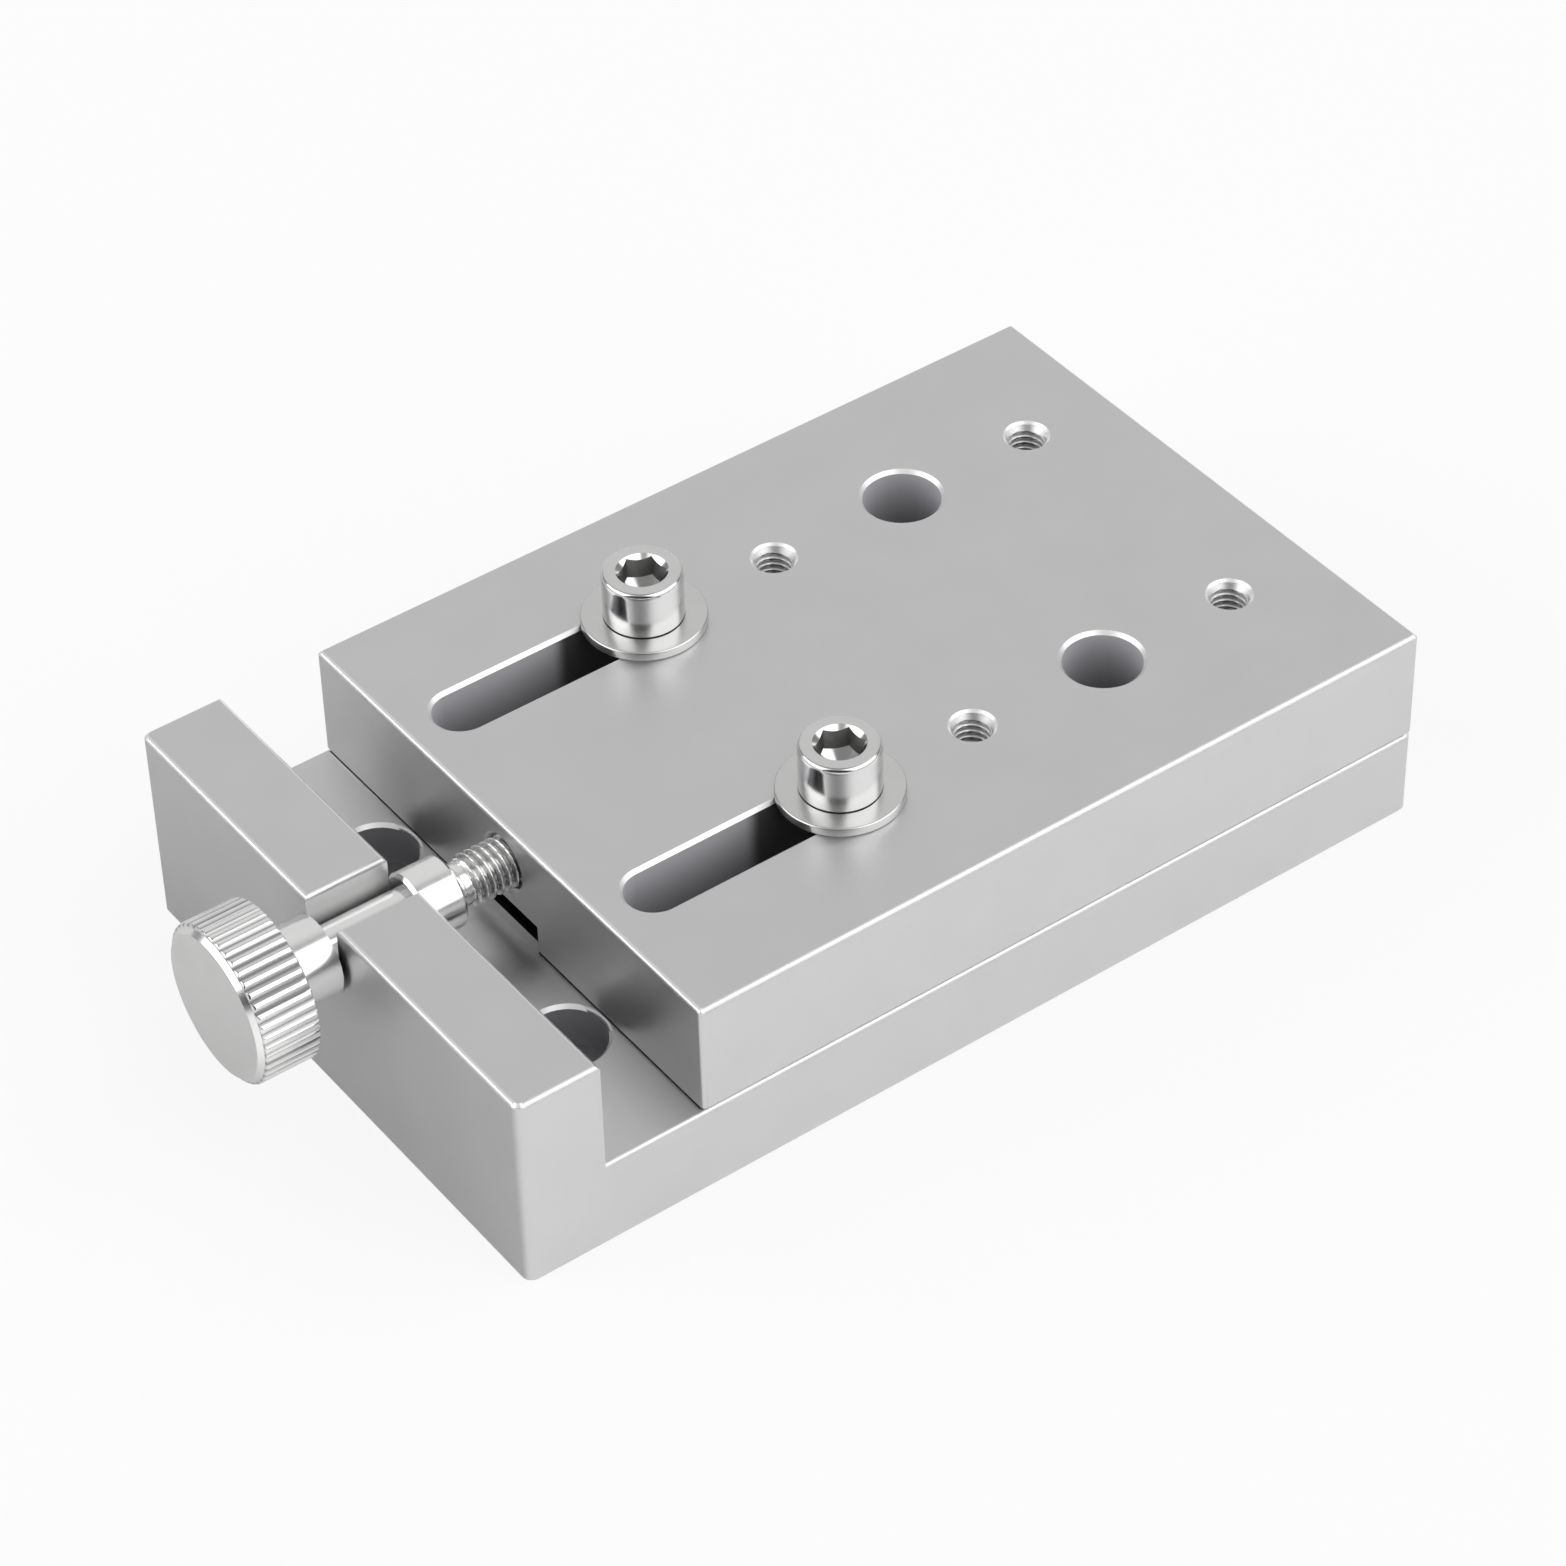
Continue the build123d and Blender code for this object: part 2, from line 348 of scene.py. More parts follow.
def make_clamp_screw(y):
    """Rings of radius and height: cone, flats, rim, top, bevelled edge, side and thread.

    On the cone the height is the depth plus the way in from the corner times tan 30. The
    head's edge is a quarter ellipse 0.4 in and 0.6 down, and the head bears on the washer
    only inside its outer 0.4, which leaves the dark line under a real head.
    """
    columns = 96
    angle = angles(columns, hex_turn)
    sixth = (angle - np.radians(hex_turn)) % (np.pi / 3) - np.pi / 6
    hexagon = hex_half / np.cos(sixth)
    corner = hex_half / np.cos(np.pi / 6)

    part = np.linspace(0.05, 1, 8)[:, None]
    cone = part * hexagon
    cone_z = -(hex_depth + (corner - cone) * np.tan(np.pi / 6))
    wall_z = np.stack([cone_z[-1] + (hexagon - hex_rim - cone_z[-1]) * t for t in (0.02, 0.5, 1)])
    wall = np.broadcast_to(hexagon, wall_z.shape)

    gap, flat_end = head_gap - clamp_head_height, clamp_head_radius - head_edge_in
    turn = np.linspace(0, np.pi / 2, 8)
    round_radius = np.concatenate([
        [hex_rim, hex_rim + 0.05, flat_end - 0.05],
        flat_end + head_edge_in * np.sin(turn),
        [clamp_head_radius] * 3, [flat_end, flat_end, clamp_root + 0.1]])
    round_z = np.concatenate([
        [0, 0, 0], head_edge_down * np.cos(turn) - head_edge_down,
        [-0.65, -2.5, gap], [gap, -clamp_head_height, -clamp_head_height]])

    rows = int((head_under - clamp_tip) / clamp_pitch * bolt_rows_a_turn)
    down = np.linspace(head_under, clamp_tip, rows)[1:]
    relief = clamp_root + 0.1 + np.clip(head_under - down - clamp_relief, 0, 1)
    bevel = clamp_crest - clamp_bevel + (down - clamp_tip)
    cut = thread_radius(down[:, None], angle[None, :], clamp_pitch, clamp_crest, clamp_root)
    cut = np.minimum(cut, np.minimum(relief, bevel)[:, None])

    plain = np.broadcast_to(round_radius[:, None], (len(round_radius), columns))
    plain_z = np.broadcast_to(round_z[:, None], plain.shape)
    down = np.broadcast_to(down[:, None] - head_top, cut.shape)
    radius = np.vstack([cone, wall, plain, cut])
    z = head_top + np.vstack([cone_z, wall_z, plain_z, down])
    rings = [clamp_x + radius * np.cos(angle), y + radius * np.sin(angle), z]
    return skin(np.stack(rings, axis=-1))


screws = {
    side: put_piece(f"{side}_clamp_screw_turned", [make_clamp_screw(y)],
                    f"{side}_clamp", [f"{side}_clamp_screw"])
    for side, y in sides.items()}

# %% [markdown]
# ## Marks on faces
#
# A finish has to know which faces it lies on, such as a socket's flats, a chamfer or a bore.
# Picking faces by hand would break with the next change of size. So we read the normal and the
# middle of all faces as arrays, ask a question about them, and write the answer into the mesh
# as an attribute. The flats of a socket are its upright faces.

# %% Read and mark faces
upright = 0.1


def read_all(things, key, kind=np.float32, wide=1):
    """One value of every face, corner or edge, or a row of values, as an array."""
    values = np.empty(len(things) * wide, kind)
    things.foreach_get(key, values)
    return values if wide == 1 else values.reshape(-1, wide)


def read_faces(piece):
    """The normal of every face, and its middle in millimetres."""
    faces = piece.data.polygons
    return read_all(faces, "normal", wide=3), read_all(faces, "center", wide=3) / MM


def mark_faces(piece, mark, values):
    """A face attribute from a mask, or from one number for all faces."""
    faces = np.empty(len(piece.data.polygons), np.float32)
    faces[:] = values
    piece.data.attributes.new(mark, "FLOAT", "FACE").data.foreach_set("value", faces)
    print(f"{piece.name}: {np.count_nonzero(faces)} faces with {mark}")


def mark_socket(screw, y):
    """Marks the upright faces inside the socket's rim and above the head's foot: they are matt,
    and the finish darkens them with painted shade.
    """
    normal, middle = read_faces(screw)
    across = middle - [clamp_x, y, 0]
    away = np.hypot(across[:, 0], across[:, 1])
    mark_faces(screw, "dull_and_shaded", (np.abs(normal[:, 2]) < upright) & (across[:, 2] > head_under)
               & (away < hex_rim))


for side, y in sides.items():
    mark_socket(screws[side], y)

# %% [markdown]
# ## Washers
#
# A punched washer has a rolled edge where the punch enters. We carry a closed profile round
# the axis: flat top and bottom, with quarter circles at the rim. The last ring meets the
# first, so the washer is one closed tube round its bore.

# %% Washers
washer_radius, washer_bore = 5.9, 2.65
washer_edge, bore_edge = 0.18, 0.1


def make_washer(y):
    """A profile of flats and quarter circles, turned once round the screw's axis."""
    low, high = washer_low[2], washer_high[2]
    quarter = np.linspace(0, np.pi / 2, 6)
    outer, inner = washer_radius - washer_edge, washer_bore + bore_edge
    radius = np.concatenate([
        inner - bore_edge * np.cos(quarter), outer + washer_edge * np.sin(quarter),
        outer + washer_edge * np.cos(quarter), inner - bore_edge * np.sin(quarter)])
    z = np.concatenate([
        high - bore_edge + bore_edge * np.sin(quarter),
        high - washer_edge * (1 - np.cos(quarter)),
        low + washer_edge * (1 - np.sin(quarter)),
        low + bore_edge - bore_edge * np.cos(quarter)])
    angle = angles(144)
    x = clamp_x + radius[:, None] * np.cos(angle)
    z = np.broadcast_to(z[:, None], x.shape)
    return skin(np.stack([x, y + radius[:, None] * np.sin(angle), z], axis=-1), "joined")


washers = {
    side: put_piece(f"{side}_clamp_washer_punched", [make_washer(y)],
                    f"{side}_clamp", [f"{side}_clamp_washer"])
    for side, y in sides.items()}

# %% [markdown]
# ## Milled plates
#
# The base plate and the slide table are milled blocks, and their CAD shapes are right: the
# chamfers, slots, counterbores, notch and groove are all there. Remaking them would only
# risk a size. But a CAD mesh is loose triangles with its own normals, so a curved wall would
# show its facets. We merge a copy, drop the old normals and smooth all but sharp edges.

# %% Merge a copy of a plate
def merge_plate(name, node, body):
    """A merged copy of a CAD plate, without its old normals."""
    work = bmesh.new()
    work.from_mesh(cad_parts[node].data)
    bmesh.ops.remove_doubles(work, verts=work.verts, dist=0.0005 * MM)
    bmesh.ops.dissolve_degenerate(work, edges=work.edges, dist=0.0005 * MM)
    mesh = bpy.data.meshes.new(name)
    work.to_mesh(mesh)
    work.free()
    mesh.materials.clear()
    if "custom_normal" in mesh.attributes:
        mesh.attributes.remove(mesh.attributes["custom_normal"])
    return finish_piece(name, mesh, body, [node], sharp=plate_angle)


base_plate = merge_plate("base_plate_milled", "base_plate", "base")
slide_table = merge_plate("slide_table_milled", "slide_table", "table")
plates = (base_plate, slide_table)

# %% [markdown]
# Each chamfer is cut after the plate is blasted, so it is bright. Its faces are the only ones
# that lean, and one array operation finds them: those of the straight edges and countersinks
# lean at 45 degrees, and those of the plate's corners and of the feed screw's mouth lean
# along X too. The notch is milled last, so its walls are smooth, and their lighter tone is
# partly a painted reflection of the neck. The walls of slots and bores keep the dull skin of
# the acid bath, because beads hardly reach into them, and the guide's rib and groove are
# painted dark as shade.

# %% Mark cut edges, notch, bores and guide
slight, nearly, around_45 = 0.01, 0.99, (0.6, 0.8)
hole_rows, channel_length, table_edge = (8.0, 28.0), 8.2, 0.6
notch_half, notch_foot = 2.7, 14.0
guide_half, guide_foot, guide_top = 5.2, 9.4, 13.5


def mark_plate(plate):
    """Marks from each face's normal and middle.

    cut_edge: the face leans at 45 degrees, or leans along X and Z at once. mouth: a cut edge
    in the rows of holes, away from the ends of the table and the channel. notch: a wall of
    the end block's notch. bore_wall: it is upright, in the rows of holes, and doesn't face
    along X as the plate's ends do. guide: it belongs to the rib or groove, which the finish
    paints dark as shade.
    """
    normal, middle = read_faces(plate)
    along, _, lean = np.abs(normal).T
    x, y, z = middle[:, 0] - table_low[0], np.abs(middle[:, 1]), middle[:, 2]
    table_length = table_high[0] - table_low[0]
    rows = (y > hole_rows[0]) & (y < hole_rows[1])
    cut = ((along > slight) & (lean > slight) & (lean < nearly)
           | (lean > around_45[0]) & (lean < around_45[1]))
    inner = (x > -channel_length) & (x < table_length - 1) & (np.abs(x) > table_edge)
    mark_faces(plate, "cut_edge", cut)
    mark_faces(plate, "mouth", cut & inner & rows)
    mark_faces(plate, "notch", (along < 0.3) & (y < notch_half) & (z > notch_foot) & (x < -5))
    mark_faces(plate, "bore_wall", (lean < 0.3) & (along < 0.9999) & rows)
    mark_faces(plate, "guide",
               (y < guide_half) & (x > 0.05) & (z > guide_foot) & (z < guide_top))


for plate in plates:
    mark_plate(plate)

# %% [markdown]
# A countersink is a cone with two crisp rims. Smoothing would blur them, so they are marked
# sharp. Every corner of a face belongs to one edge, so two masks over all edges are enough.

# %% Sharp rims of the countersinks
def sharpen_mouths(plate):
    """Marks both rims of every countersink sharp.

    One mask holds the edges that a mouth's faces touch, and one those that other faces touch.
    An edge in both masks is a rim.
    """
    mesh = plate.data
    edge = read_all(mesh.loops, "edge_index", np.int32)
    corners = read_all(mesh.polygons, "loop_total", np.int32)
    sharp = read_all(mesh.edges, "use_edge_sharp", bool)
    inside = np.repeat(read_all(mesh.attributes["mouth"].data, "value"), corners) > 0.5
    touched = np.zeros((2, len(sharp)), bool)
    touched[0, edge[inside]] = True
    touched[1, edge[~inside]] = True
    rim = touched.all(axis=0)
    mesh.edges.foreach_set("use_edge_sharp", sharp | rim)
    print(f"{plate.name}: {np.count_nonzero(rim)} edges on rims")


for plate in plates:
    sharpen_mouths(plate)

# %% [markdown]
# A chamfer a few tenths of a millimetre wide should look like a deburred, rounded edge, and
# the wide faces should stay flat right up to it. So we weight the normals: a chamfer's faces
# are weak and all others strong, and a corner takes its normal from the strong ones. Weighting
# by area isn't enough, because some triangles of a wide face are thinner than the chamfer's.

# %% Weighted normals
strong, weak = 16384, -16384


def weight_normals(plate):
    """A modifier that listens to strong faces before weak ones. It reads each face's
    strength from an integer attribute with a fixed name."""
    mesh = plate.data
    cut = read_all(mesh.attributes["cut_edge"].data, "value") > 0.5
    strength = np.where(cut, weak, strong).astype(np.int32)
    mesh.attributes.new("__mod_weightednormals_faceweight", "INT", "FACE").data.foreach_set(
        "value", strength)
    weighted = plate.modifiers.new("flat faces stay flat", "WEIGHTED_NORMAL")
    weighted.keep_sharp = True
    weighted.use_face_influence = True
    print(f"{plate.name}: {np.count_nonzero(cut)} weak faces")


for plate in plates:
    weight_normals(plate)

# %% [markdown]
# ## Painted shadow at the table's foot
#
# In the corner below the table's knob-end chamfer, a thin dark strip on each side of the
# guide paints the shadow in the gap between the table and the base. A strip is a flat oval
# drawn out along Y, and it rides on the table, so the line moves with the table's foot.

# %% Strips of painted shadow
strip_x, strip_z = table_low[0] + 0.23, table_bottom + 0.035
strip_half_width, strip_half_height = 0.2, 0.028
strip_start, strip_end = 5.2, 29.4


def make_shadow_strip(start, end):
    """A flat oval bar from one place along Y to another, just above the base plate.

    The oval's half width and half height times the cosine and sine of an angle are added to
    its middle below the chamfer.
    """
    angle = angles(12)
    x = strip_x + strip_half_width * np.cos(angle)
    z = strip_z + strip_half_height * np.sin(angle)
    rings = [np.stack([x, np.full(len(x), y), z], axis=-1) for y in (start, end)]
    return skin(np.stack(rings))


# Dark strips of painted shadow in the crease between the table and the base.
foot_shadow_strip = put_piece(
    "table_foot_shadow_strip", [make_shadow_strip(-strip_end, -strip_start), make_shadow_strip(strip_start, strip_end)],
    "table")
mark_faces(foot_shadow_strip, "painted_shadow", 1.0)

# %% [markdown]
# ## Threads in the tapped holes
#
# The table has four M4 holes. The tap leaves a thread in the wall, and the countersink then
# cuts the first turns away at 45 degrees. Cutting them with booleans is slow and fragile, so
# each thread is a thin sleeve that lines its hole: the inner wall is the thread, and the
# outer wall lies just inside the metal. The larger of the thread's radius and the tap's
# lead-in cone gives the mouth for free.

# %% Threaded sleeves
tap_x, tap_y = table_high[0] - 10.0, 15.0
tap_spacing = 30.0
tap_pitch, tap_crest, tap_root, tap_mouth, tap_lead = 0.7, 2.0, 1.62, 0.27, 0.56
fade_start, fade_length, sleeve_wall = 0.15, 0.5, 0.05


def make_sleeve(x, y, start, bottom, pitch, crest, root):
    """A tube whose inner wall is a thread, opened at the top by a lead-in cone.

    The wall is the thread turned inside out: root plus crest less the thread's radius. It
    grows to its full depth between 0.15 and 0.65 down. The cone's radius is the crest less
    tap_lead times the depth.
    """
    angle = angles(64)
    down = np.linspace(start, bottom, int((start - bottom) / pitch * bolt_rows_a_turn))
    groove = crest - thread_radius(down[:, None], angle[None, :], pitch, crest, root)
    wall = root + groove * np.clip((start - down - fade_start) / fade_length, 0, 1)[:, None]
    cone = (crest - tap_lead * (start - down))[:, None]
    outer = np.full((2, len(angle)), crest + sleeve_wall)
    radius = np.vstack([np.maximum(wall, cone), outer])
    deep = np.where(wall > cone, (wall - root) / (crest - root), 0.0)
    z = np.concatenate([down, [bottom, start]])
    rings = [x + radius * np.cos(angle), y + radius * np.sin(angle),
             np.broadcast_to(z[:, None], radius.shape)]
    recess = np.vstack([deep, np.zeros(outer.shape)])
    return skin(np.stack(rings, axis=-1), "joined", recess)


tap_places = [(tap_x - tap_spacing * i, side * tap_y) for i in (0, 1) for side in (-1, 1)]
table_threads = put_piece(
    "table_tapped_threads",
    [make_sleeve(x, y, table_top - tap_mouth, table_bottom + 0.02, tap_pitch, tap_crest,
                 tap_root) for x, y in tap_places],
    "table")
mark_faces(table_threads, "cut_edge", 0.75)

# %% [markdown]
# The base's two clamp threads are full of screw, apart from the last turns under the tips.
# Only those turns are made, seen from below.

# %% Threads of the base
nut_crest, nut_root = 2.53, 2.1
base_threads = put_piece(
    "base_tapped_threads",
    [make_sleeve(clamp_x, y, clamp_tip - 0.1, base_low[2] + 0.05, clamp_pitch, nut_crest,
                 nut_root) for y in sides.values()],
    "base")

# %% [markdown]
# ## Small tools for finishes
#
# A finish is a node tree. Writing trees node by node is long, so one helper adds a node,
# sets it and connects it, and another opens a node group with named sockets.

# %% Helpers for node trees
def add(tree, kind, values=(), **settings):
    """Adds a shader node. values gives inputs by name or number: a value or an output."""
    made = tree.nodes.new("ShaderNode" + kind)
    for key, value in settings.items():
        setattr(made, key, value)
    for key, value in dict(values).items():
        if isinstance(value, bpy.types.NodeSocket):
            tree.links.new(value, made.inputs[key])
        else:
            made.inputs[key].default_value = value
    return made


def place_group(tree, group, values):
    """The outputs of a node group placed in a tree."""
    return add(tree, "Group", values, node_tree=group).outputs


def compute(tree, operation, *values):
    """The output of a Math node."""
    return add(tree, "Math", enumerate(values), operation=operation).outputs[0]


def noise(tree, place, scale, detail, rough=0.5):
    """The value of a Noise Texture node."""
    values = {"Vector": place, "Scale": scale, "Detail": detail, "Roughness": rough}
    return add(tree, "TexNoise", values).outputs["Fac"]


def open_group(name, inputs, outputs):
    """A new node group with float or vector inputs and float outputs, and its two ends."""
    group = bpy.data.node_groups.new(name, "ShaderNodeTree")
    for socket, start in inputs.items():
        kind = "NodeSocketFloat" if isinstance(start, float) else "NodeSocketVector"
        group.interface.new_socket(socket, in_out="INPUT", socket_type=kind).default_value = start
    for socket in outputs:
        group.interface.new_socket(socket, in_out="OUTPUT", socket_type="NodeSocketFloat")
    return group, group.nodes.new("NodeGroupInput").outputs, group.nodes.new("NodeGroupOutput")


print("tools for node trees are ready")

# %% [markdown]
# ## Grain of a blasted surface
#
# Bead blasting leaves thousands of small dents, about a tenth of a millimetre wide, and an
# anodised film that is never quite even. Both are noise: a fine one for the dents, and a
# wide, soft one for the film. The group puts out both, and each metal decides how much of
# them it shows.

# %% Node group: blast grain
def make_blast_grain():
    """Dents: fine noise of the given size. Film: wide noise, 60 times the size."""
    group, given, out = open_group(
        "blast_grain", {"Place": (0.0, 0.0, 0.0), "Size mm": 0.1}, ["Dents", "Film"])
    scale = compute(group, "DIVIDE", 1000.0, given["Size mm"])
    dents = noise(group, given["Place"], scale, 3.0, 0.6)
    film = noise(group, given["Place"], compute(group, "DIVIDE", scale, 60.0), 2.0)
    group.links.new(dents, out.inputs["Dents"])
    group.links.new(film, out.inputs["Film"])
    return group


blast_grain = make_blast_grain()
print("group:", blast_grain.name)

# %% [markdown]
# ## Turning marks
#
# A lathe leaves fine rings: side by side along a cylinder, and concentric on a face. Both
# are the same noise, which only knows the place along the axis and the distance from it.

# %% Node group: turning marks
def make_turning_marks():
    """Marks: noise of (distance from the axis, place along it). The axis is Z of Place.
    Bands: the same, 8 times as wide."""
    group, given, out = open_group(
        "turning_marks", {"Place": (0.0, 0.0, 0.0), "Spacing mm": 0.1}, ["Marks", "Bands"])
    split = add(group, "SeparateXYZ", {0: given["Place"]}).outputs
    flat = add(group, "CombineXYZ", {0: split[0], 1: split[1]}).outputs[0]
    away = add(group, "VectorMath", {0: flat}, operation="LENGTH").outputs["Value"]
    rings = add(group, "CombineXYZ", {0: away, 1: split[2]}).outputs[0]
    scale = compute(group, "DIVIDE", 1000.0, given["Spacing mm"])
    bands = noise(group, rings, compute(group, "DIVIDE", scale, 8.0), 1.0)
    group.links.new(noise(group, rings, scale, 2.0), out.inputs["Marks"])
    group.links.new(bands, out.inputs["Bands"])
    return group


turning_marks = make_turning_marks()
print("group:", turning_marks.name)

# %% [markdown]
# ## Edge wear
#
# An edge that was cut after blasting is brighter than the face beside it, and handling rubs
# it unevenly. The plate's cut_edge attribute says where, and a noise breaks it up.

# %% Node group: edge wear
def make_edge_wear():
    """Mask: the edge attribute times (1 - uneven x noise)."""
    group, given, out = open_group(
        "edge_wear", {"Place": (0.0, 0.0, 0.0), "Edge": 0.0, "Uneven": 0.3}, ["Mask"])
    patch = noise(group, given["Place"], 900.0, 2.0)
    rubbed = compute(group, "MULTIPLY", patch, given["Uneven"])
    kept = compute(group, "SUBTRACT", 1.0, rubbed)
    group.links.new(compute(group, "MULTIPLY", given["Edge"], kept), out.inputs["Mask"])
    return group


edge_wear = make_edge_wear()
print("group:", edge_wear.name)

# %% [markdown]
# ## Ways to use a mask
#
# A mask from a group moves a number or blends two colours. Noise rarely leaves the range from
# 0.3 to 0.7, so we stretch that range by default, and give 0 and 1 for a mark. A window is a
# mask of a place: it is 1 between two planes and fades out across them.

# %% Helpers for materials
noise_low, noise_high = 0.3, 0.7


def new_material(name):
    """An empty material with a Principled BSDF: (material, tree, bsdf)."""
    material = bpy.data.materials.new(name)
    material.use_nodes = True
    tree = material.node_tree
    return material, tree, tree.nodes["Principled BSDF"]


def between(tree, factor, low, high):
    """A number that runs from low to high as a noise runs over its usual range."""
    values = {0: factor, 1: noise_low, 2: noise_high, 3: low, 4: high}
    return add(tree, "MapRange", values).outputs[0]


def blend_colour(tree, factor, one, other, start=noise_low, end=noise_high):
    """A colour that runs from one to the other as the factor runs from start to end."""
    part = add(tree, "MapRange", {0: factor, 1: start, 2: end}).outputs[0]
    ends = [c if isinstance(c, bpy.types.NodeSocket) else (*c, 1) for c in (one, other)]
    return add(tree, "Mix", {0: part, 6: ends[0], 7: ends[1]}, data_type="RGBA").outputs[2]


def window(tree, place, start, end, soft):
    """A mask that is 1 from start to end, in mm, and fades out over the soft part."""
    middle, half = (start + end) / 2 * MM, (end - start) / 2 * MM
    away = compute(tree, "ABSOLUTE", compute(tree, "SUBTRACT", place, middle))
    values = {0: away, 1: half - soft * MM, 2: half + soft * MM, 3: 1.0, 4: 0.0}
    return add(tree, "MapRange", values, interpolation_type="SMOOTHSTEP").outputs[0]


def shade(tone, factor):
    """A tone made darker or lighter by a factor."""
    return [t * factor for t in tone]


print("tools for materials are ready")

# %% [markdown]
# ## Blasted and anodised aluminium
#
# Clear anodising over blasted aluminium is a soft grey metal: fully metallic, rather rough,
# a little darker than bare aluminium. The dents drive a very shallow bump, and the film
# moves the colour and the roughness by a few percent, which keeps wide faces alive. Cut
# edges are brighter, and the file leaves them a little rougher. Bore walls aren't metallic,
# because the acid skin scatters light, and painted shade makes them darker the deeper they
# lie. The guide is painted dark as shade. So are the slots' walls beside the washers, as the
# washers' painted shadow, and the strips at the table's foot, as the shadow of its gap. The
# notch's walls are lighter, partly as a painted reflection of the neck's highlight.

# %% Aluminium finish
# The notch's walls get a lighter tone: milled metal, and partly a painted reflection of the
# neck's highlight.
satin_tone, bright_tone, notch_sheen_tone = (0.655, 0.655, 0.657), (0.92,) * 3, (0.7,) * 3
# Painted shade: the thread roots, the guide, and the shadows beside the washers and at the
# table's foot.
thread_root_shade, guide_shade_tone, painted_shadow_tone = (0.46, 0.46, 0.47), (0.12,) * 3, (0.065,) * 3
# Painted shade: bore walls run from the deep tone at the foot to the shallow tone at the mouth.
bore_shade_deep, bore_shade_shallow = (0.28, 0.28, 0.3), (0.5, 0.5, 0.525)
bore_foot, bore_mouth = 14.5, 21
# A window along X beside the washers, where the slots' walls get painted shadow.
washer_shadow_start, washer_shadow_end, washer_shadow_fade = -12.7, 0, 0.9


def make_aluminium(name):
    """Satin aluminium: the tones are laid over each other, each where its mark is 1.

    The film moves tone and roughness, and the dents move roughness and height. A bore wall's
    tone is painted shade that runs from deep to shallow with Z. The washers' painted shadow is
    the bore wall within a window along X.
    """
    material, tree, bsdf = new_material(name)
    place = add(tree, "TexCoord").outputs["Object"]
    grain = place_group(tree, blast_grain, {"Place": place, "Size mm": 0.12})
    marks = {mark: add(tree, "Attribute", attribute_name=mark).outputs["Fac"]
             for mark in ("cut_edge", "notch", "bore_wall", "guide", "recess", "painted_shadow")}
    worn = place_group(tree, edge_wear, {"Place": place, "Edge": marks["cut_edge"]})["Mask"]

    colour = blend_colour(tree, grain["Film"], shade(satin_tone, 0.985),
                          shade(satin_tone, 1.015))
    x, _, z = add(tree, "SeparateXYZ", {0: place}).outputs
    # Painted shade: a bore wall darkens with depth.
    wall = blend_colour(tree, z, bore_shade_deep, bore_shade_shallow, bore_foot * MM, bore_mouth * MM)
    # Painted shadow of the washers on the slots' walls.
    washer_shadow = compute(tree, "MULTIPLY", marks["bore_wall"],
                  window(tree, x, washer_shadow_start, washer_shadow_end, washer_shadow_fade))
    # The guide's layer paints dark shade inside the rib and groove.
    layers = [(worn, bright_tone), (marks["notch"], notch_sheen_tone), (marks["bore_wall"], wall),
              (marks["recess"], thread_root_shade), (marks["guide"], guide_shade_tone),
              (compute(tree, "MAXIMUM", washer_shadow, marks["painted_shadow"]), painted_shadow_tone)]
    for where, tint in layers:
        colour = blend_colour(tree, where, colour, tint, start=0.0, end=1.0)
    tree.links.new(colour, bsdf.inputs["Base Color"])

    rough = compute(tree, "ADD", between(tree, grain["Film"], 0.37, 0.4),
                    between(tree, grain["Dents"], -0.02, 0.02))
    for where, change in ((worn, 0.08), (marks["bore_wall"], 0.22)):
        rough = compute(tree, "MULTIPLY_ADD", where, change, rough)
    tree.links.new(rough, bsdf.inputs["Roughness"])
    metal = compute(tree, "SUBTRACT", 1.0, marks["bore_wall"])
    tree.links.new(metal, bsdf.inputs["Metallic"])
    bump = add(tree, "Bump", {"Strength": 0.1, "Distance": 0.02 * MM, "Height": grain["Dents"]})
    tree.links.new(bump.outputs[0], bsdf.inputs["Normal"])
    return material


for name, pieces in (("base_aluminium", (base_plate, base_threads)),
                     ("table_aluminium", (slide_table, table_threads, foot_shadow_strip))):
    finish = make_aluminium(name)
    for piece in pieces:
        piece.data.materials.append(finish)
    print(f"{name}: {len(finish.node_tree.nodes)} nodes, on {len(pieces)} pieces")

# %% [markdown]
# ## Polished and turned steel
#
# The screws are stainless steel. The clamp screws' heads are polished, the washers are a
# little softer, and the knob is turned and knurled. One function makes all of them from a
# roughness range and a spacing of the turning marks. A Mapping node brings each piece's axis
# to Z, because the marks turn round Z. Inside a socket the pressed flats are matt, and
# painted shade darkens them. Painted shade also darkens knurls and threads down in their
# grooves, and the gap behind the hub is painted black as shade.

# %% Steel finish
# Painted shade: how dark socket flats and groove roots get.
socket_shade, groove_shade, dull_rough = 0.45, 0.4, 0.25


